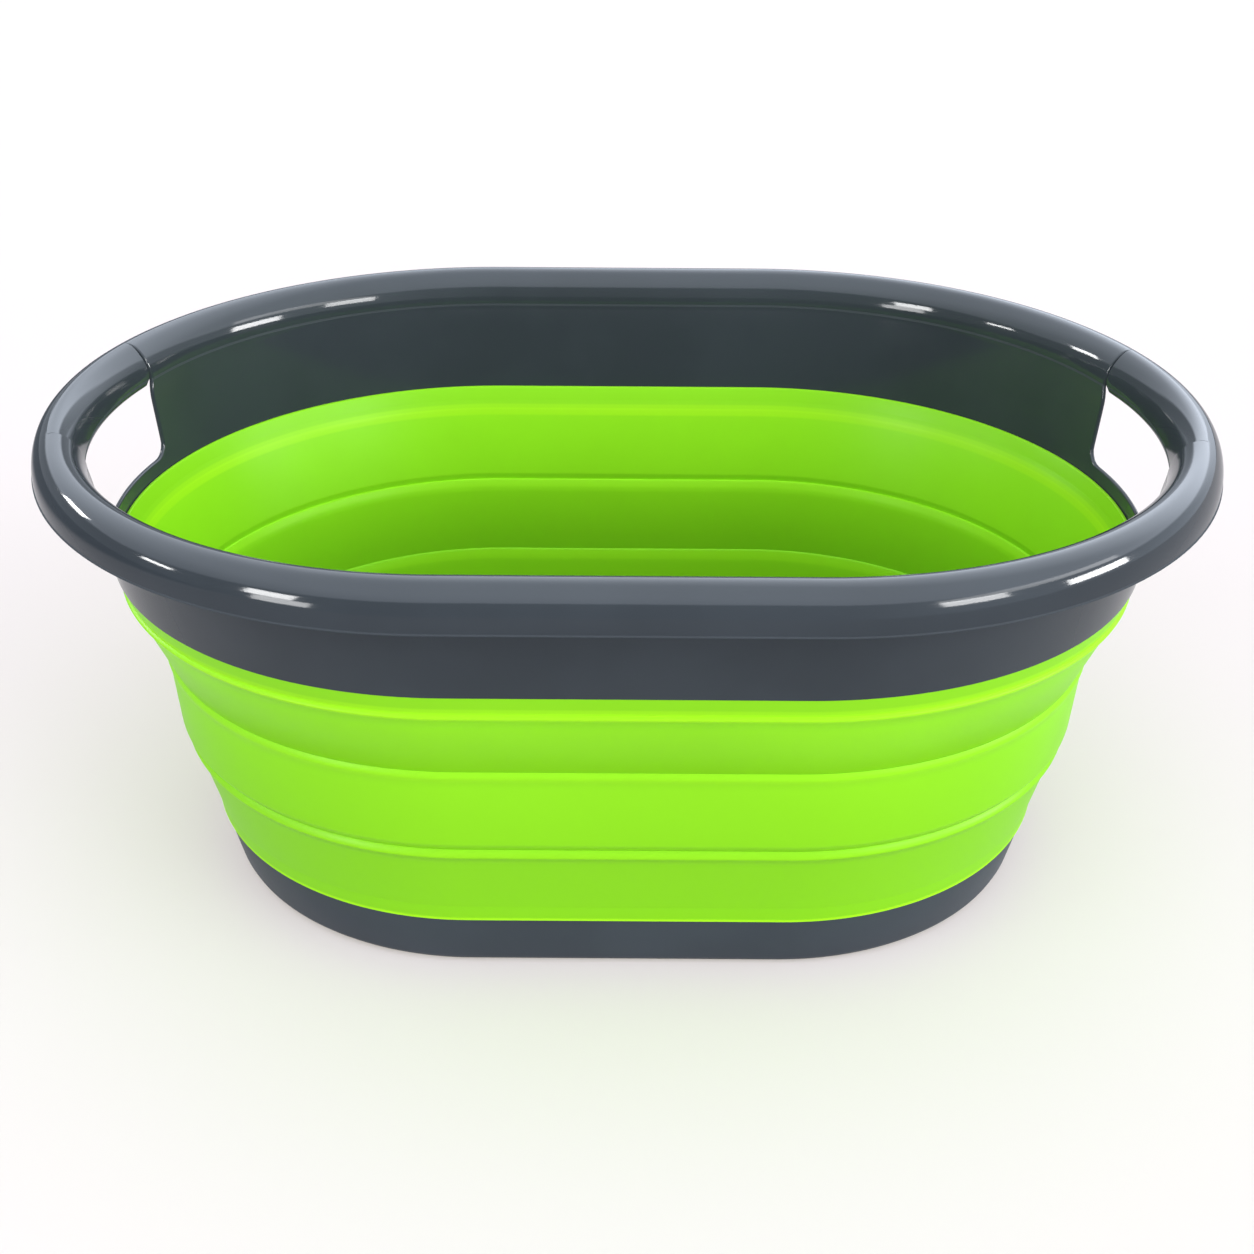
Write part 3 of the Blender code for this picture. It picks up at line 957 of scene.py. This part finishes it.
class BASKET_OT_stage(bpy.types.Operator):
    """Sets the pale floor, the soft lights, the even light and the camera"""

    bl_idname = "basket.stage"
    bl_label = "Stage"

    def execute(self, context):
        stage = context.scene.basket_stage
        self.floor(context, stage)
        self.world(context, stage)
        strengths = (stage.overhead, stage.front_left, stage.front_right, stage.right)
        for (name, azimuth, elevation, width), strength in zip(BROAD_LIGHTS, strengths):
            self.broad_light(context, name, direction(azimuth, elevation), width, strength)
        for window in WINDOWS:
            self.window(context, stage, *window)
        self.camera(context)
        context.scene.view_settings.view_transform = "Standard"
        return {"FINISHED"}

    def floor(self, context, stage):
        bm = bmesh.new()
        bmesh.ops.create_grid(bm, x_segments=1, y_segments=1, size=FLOOR_REACH)
        mesh = bpy.data.meshes.new("floor")
        bm.to_mesh(mesh)
        bm.free()
        floor = bpy.data.objects.new("floor", mesh)
        context.scene.collection.objects.link(floor)
        finish = Finish("pale_floor", roughness=1.0, specular_ior_level=0.0)
        finish.shader.inputs["Emission Strength"].default_value = 1.0
        across = finish.node("ShaderNodeSeparateXYZ", {}, {0: finish.place}, output=0)
        along = finish.node("ShaderNodeSeparateXYZ", {}, {0: finish.place}, output=1)
        glossy = finish.node("ShaderNodeLightPath", output="Is Glossy Ray")
        away = along - DARK_FLOOR_SLANT * across
        behind = glossy * finish.ramp(away, *DARK_FLOOR_FADE, DARK_FLOOR_ELSEWHERE)
        color = finish.mix(behind, tuple(stage.floor_color), DARK_FLOOR)
        glow = finish.mix(finish.seen_directly() - behind, BLACK, tuple(stage.floor_glow))
        mesh.materials.append(finish.surface(base_color=color, emission_color=glow))

    def world(self, context, stage):
        """An even sky, brighter to the right, which the camera sees as white."""
        world = bpy.data.worlds.new("even_light")
        context.scene.world = world
        world.use_nodes = True
        sky = NodeTree(world.node_tree)
        toward = sky.node("ShaderNodeTexCoord", output="Generated")
        right = sky.node("ShaderNodeSeparateXYZ", {}, {0: toward}, output=0)
        height = sky.node("ShaderNodeSeparateXYZ", {}, {0: toward}, output=2)
        back = sky.node("ShaderNodeSeparateXYZ", {}, {0: toward}, output=1)
        ahead = sky.node("ShaderNodeMath", {"operation": "MINIMUM"}, {0: back, 1: 0.0})
        edge = height + LOW_SKY_SLANT * ahead
        low = sky.ramp(right, *LOW_SKY_TURN, stage.low_left, stage.low_right)
        middle = sky.ramp(right, *HIGH_SKY_TURN, stage.middle_left, stage.high_right)
        high = sky.ramp(right, *HIGH_SKY_TURN, stage.high_left, stage.high_right)
        upper = sky.blend(sky.ramp(height, *HIGH_SKY), middle, high)
        light = sky.blend(sky.ramp(edge, *LOW_SKY), low, upper)
        sockets = {0: toward, 1: tuple(direction(*GLOW_CENTRE))}
        glow = sky.node("ShaderNodeVectorMath", {"operation": "DOT_PRODUCT"}, sockets, output=1)
        light = light + sky.ramp(glow, cos(radians(GLOW_EDGE)), cos(radians(GLOW_CORE)), 0.0, stage.glow)
        path = "ShaderNodeLightPath"
        camera = sky.node(path, output="Is Camera Ray")
        glossy = sky.node(path, output="Is Glossy Ray")
        even = sky.ramp(height, *EVEN_LIGHT_HEIGHTS, stage.low_fill, stage.fill)
        lit = sky.blend(glossy, even, light)
        background = world.node_tree.nodes["Background"]
        sky.feed(background.inputs["Strength"], sky.blend(camera, lit, 1.0))
        sky.feed(background.inputs["Color"], sky.mix(glossy, WHITE, COOL_SKY))

    def broad_light(self, context, name, toward, width, strength):
        """A wide soft light, which leaves no reflection of its own."""
        data = bpy.data.lights.new(name, "SUN")
        data.energy = strength
        data.angle = radians(width)
        lamp = bpy.data.objects.new(name, data)
        context.scene.collection.objects.link(lamp)
        lamp.rotation_euler = toward.to_track_quat("Z", "Y").to_euler()
        lamp.visible_glossy = False

    def window(self, context, stage, name, azimuth, elevation, wide, high, strength):
        """A bright window seen from the basket, with its place and size in degrees."""
        data = bpy.data.lights.new(name, "AREA")
        data.shape = "RECTANGLE"
        data.size = WINDOW_DISTANCE * radians(wide)
        data.size_y = WINDOW_DISTANCE * radians(high)
        data.energy = strength * stage.windows * pi * data.size * data.size_y
        lamp = bpy.data.objects.new(name, data)
        context.scene.collection.objects.link(lamp)
        toward = direction(azimuth, elevation)
        lamp.location = Vector((0, 0, ROLL_TOP)) + toward * WINDOW_DISTANCE
        lamp.visible_diffuse = False
        lamp.rotation_euler = toward.to_track_quat("Z", "Y").to_euler()

    def camera(self, context):
        """The photograph's view: its pitch, its slight roll and its focal length."""
        side = Vector((1, 0, 0))
        forward = Vector((0, cos(CAMERA_PITCH), -sin(CAMERA_PITCH)))
        upright = Vector((0, sin(CAMERA_PITCH), cos(CAMERA_PITCH)))
        right = side * cos(CAMERA_ROLL) + upright * sin(CAMERA_ROLL)
        up = upright * cos(CAMERA_ROLL) - side * sin(CAMERA_ROLL)
        data = bpy.data.cameras.new("camera")
        data.sensor_fit = "HORIZONTAL"
        data.sensor_width = SENSOR_WIDTH
        data.lens = SENSOR_WIDTH * PHOTO_FOCAL_LENGTH / PHOTO_WIDTH
        data.shift_x = (PHOTO_WIDTH / 2 - PHOTO_CENTRE) / PHOTO_WIDTH
        camera = bpy.data.objects.new("camera", data)
        context.scene.collection.objects.link(camera)
        turned = Matrix((right, up, -forward)).transposed().to_4x4()
        camera.matrix_world = Matrix.Translation(CAMERA_PLACE) @ turned
        context.scene.camera = camera


class BASKET_PT_panel(bpy.types.Panel):
    """Lists the basket's pieces and their settings"""

    bl_idname = "BASKET_PT_panel"
    bl_label = "Laundry Basket"
    bl_space_type = "VIEW_3D"
    bl_region_type = "UI"
    bl_category = "Basket"

    def draw(self, context):
        for operator in OPERATORS:
            self.layout.operator(operator.bl_idname)
        for name in SETTINGS:
            group = getattr(context.scene, name)
            box = self.layout.box()
            for key in group.bl_rna.properties.keys():
                if key not in ("rna_type", "name"):
                    box.prop(group, key)


SETTINGS = {
    "basket_rim": BasketRimSettings,
    "basket_wall": BasketWallSettings,
    "basket_base": BasketBaseSettings,
    "basket_stage": BasketStageSettings,
}
OPERATORS = (
    BASKET_OT_base_tray,
    BASKET_OT_soft_wall,
    BASKET_OT_rim_frame,
    BASKET_OT_handle_grips,
    BASKET_OT_stage,
)


def register():
    for made in (*SETTINGS.values(), *OPERATORS, BASKET_PT_panel):
        bpy.utils.register_class(made)
    for name, group in SETTINGS.items():
        setattr(bpy.types.Scene, name, PointerProperty(type=group))


def unregister():
    for name in SETTINGS:
        delattr(bpy.types.Scene, name)
    for made in (BASKET_PT_panel, *reversed(OPERATORS), *reversed(list(SETTINGS.values()))):
        bpy.utils.unregister_class(made)


def main():
    register()
    bpy.ops.basket.base_tray()
    bpy.ops.basket.soft_wall()
    bpy.ops.basket.rim_frame()
    bpy.ops.basket.handle_grips()
    bpy.ops.basket.stage()


if __name__ == "__main__":
    main()
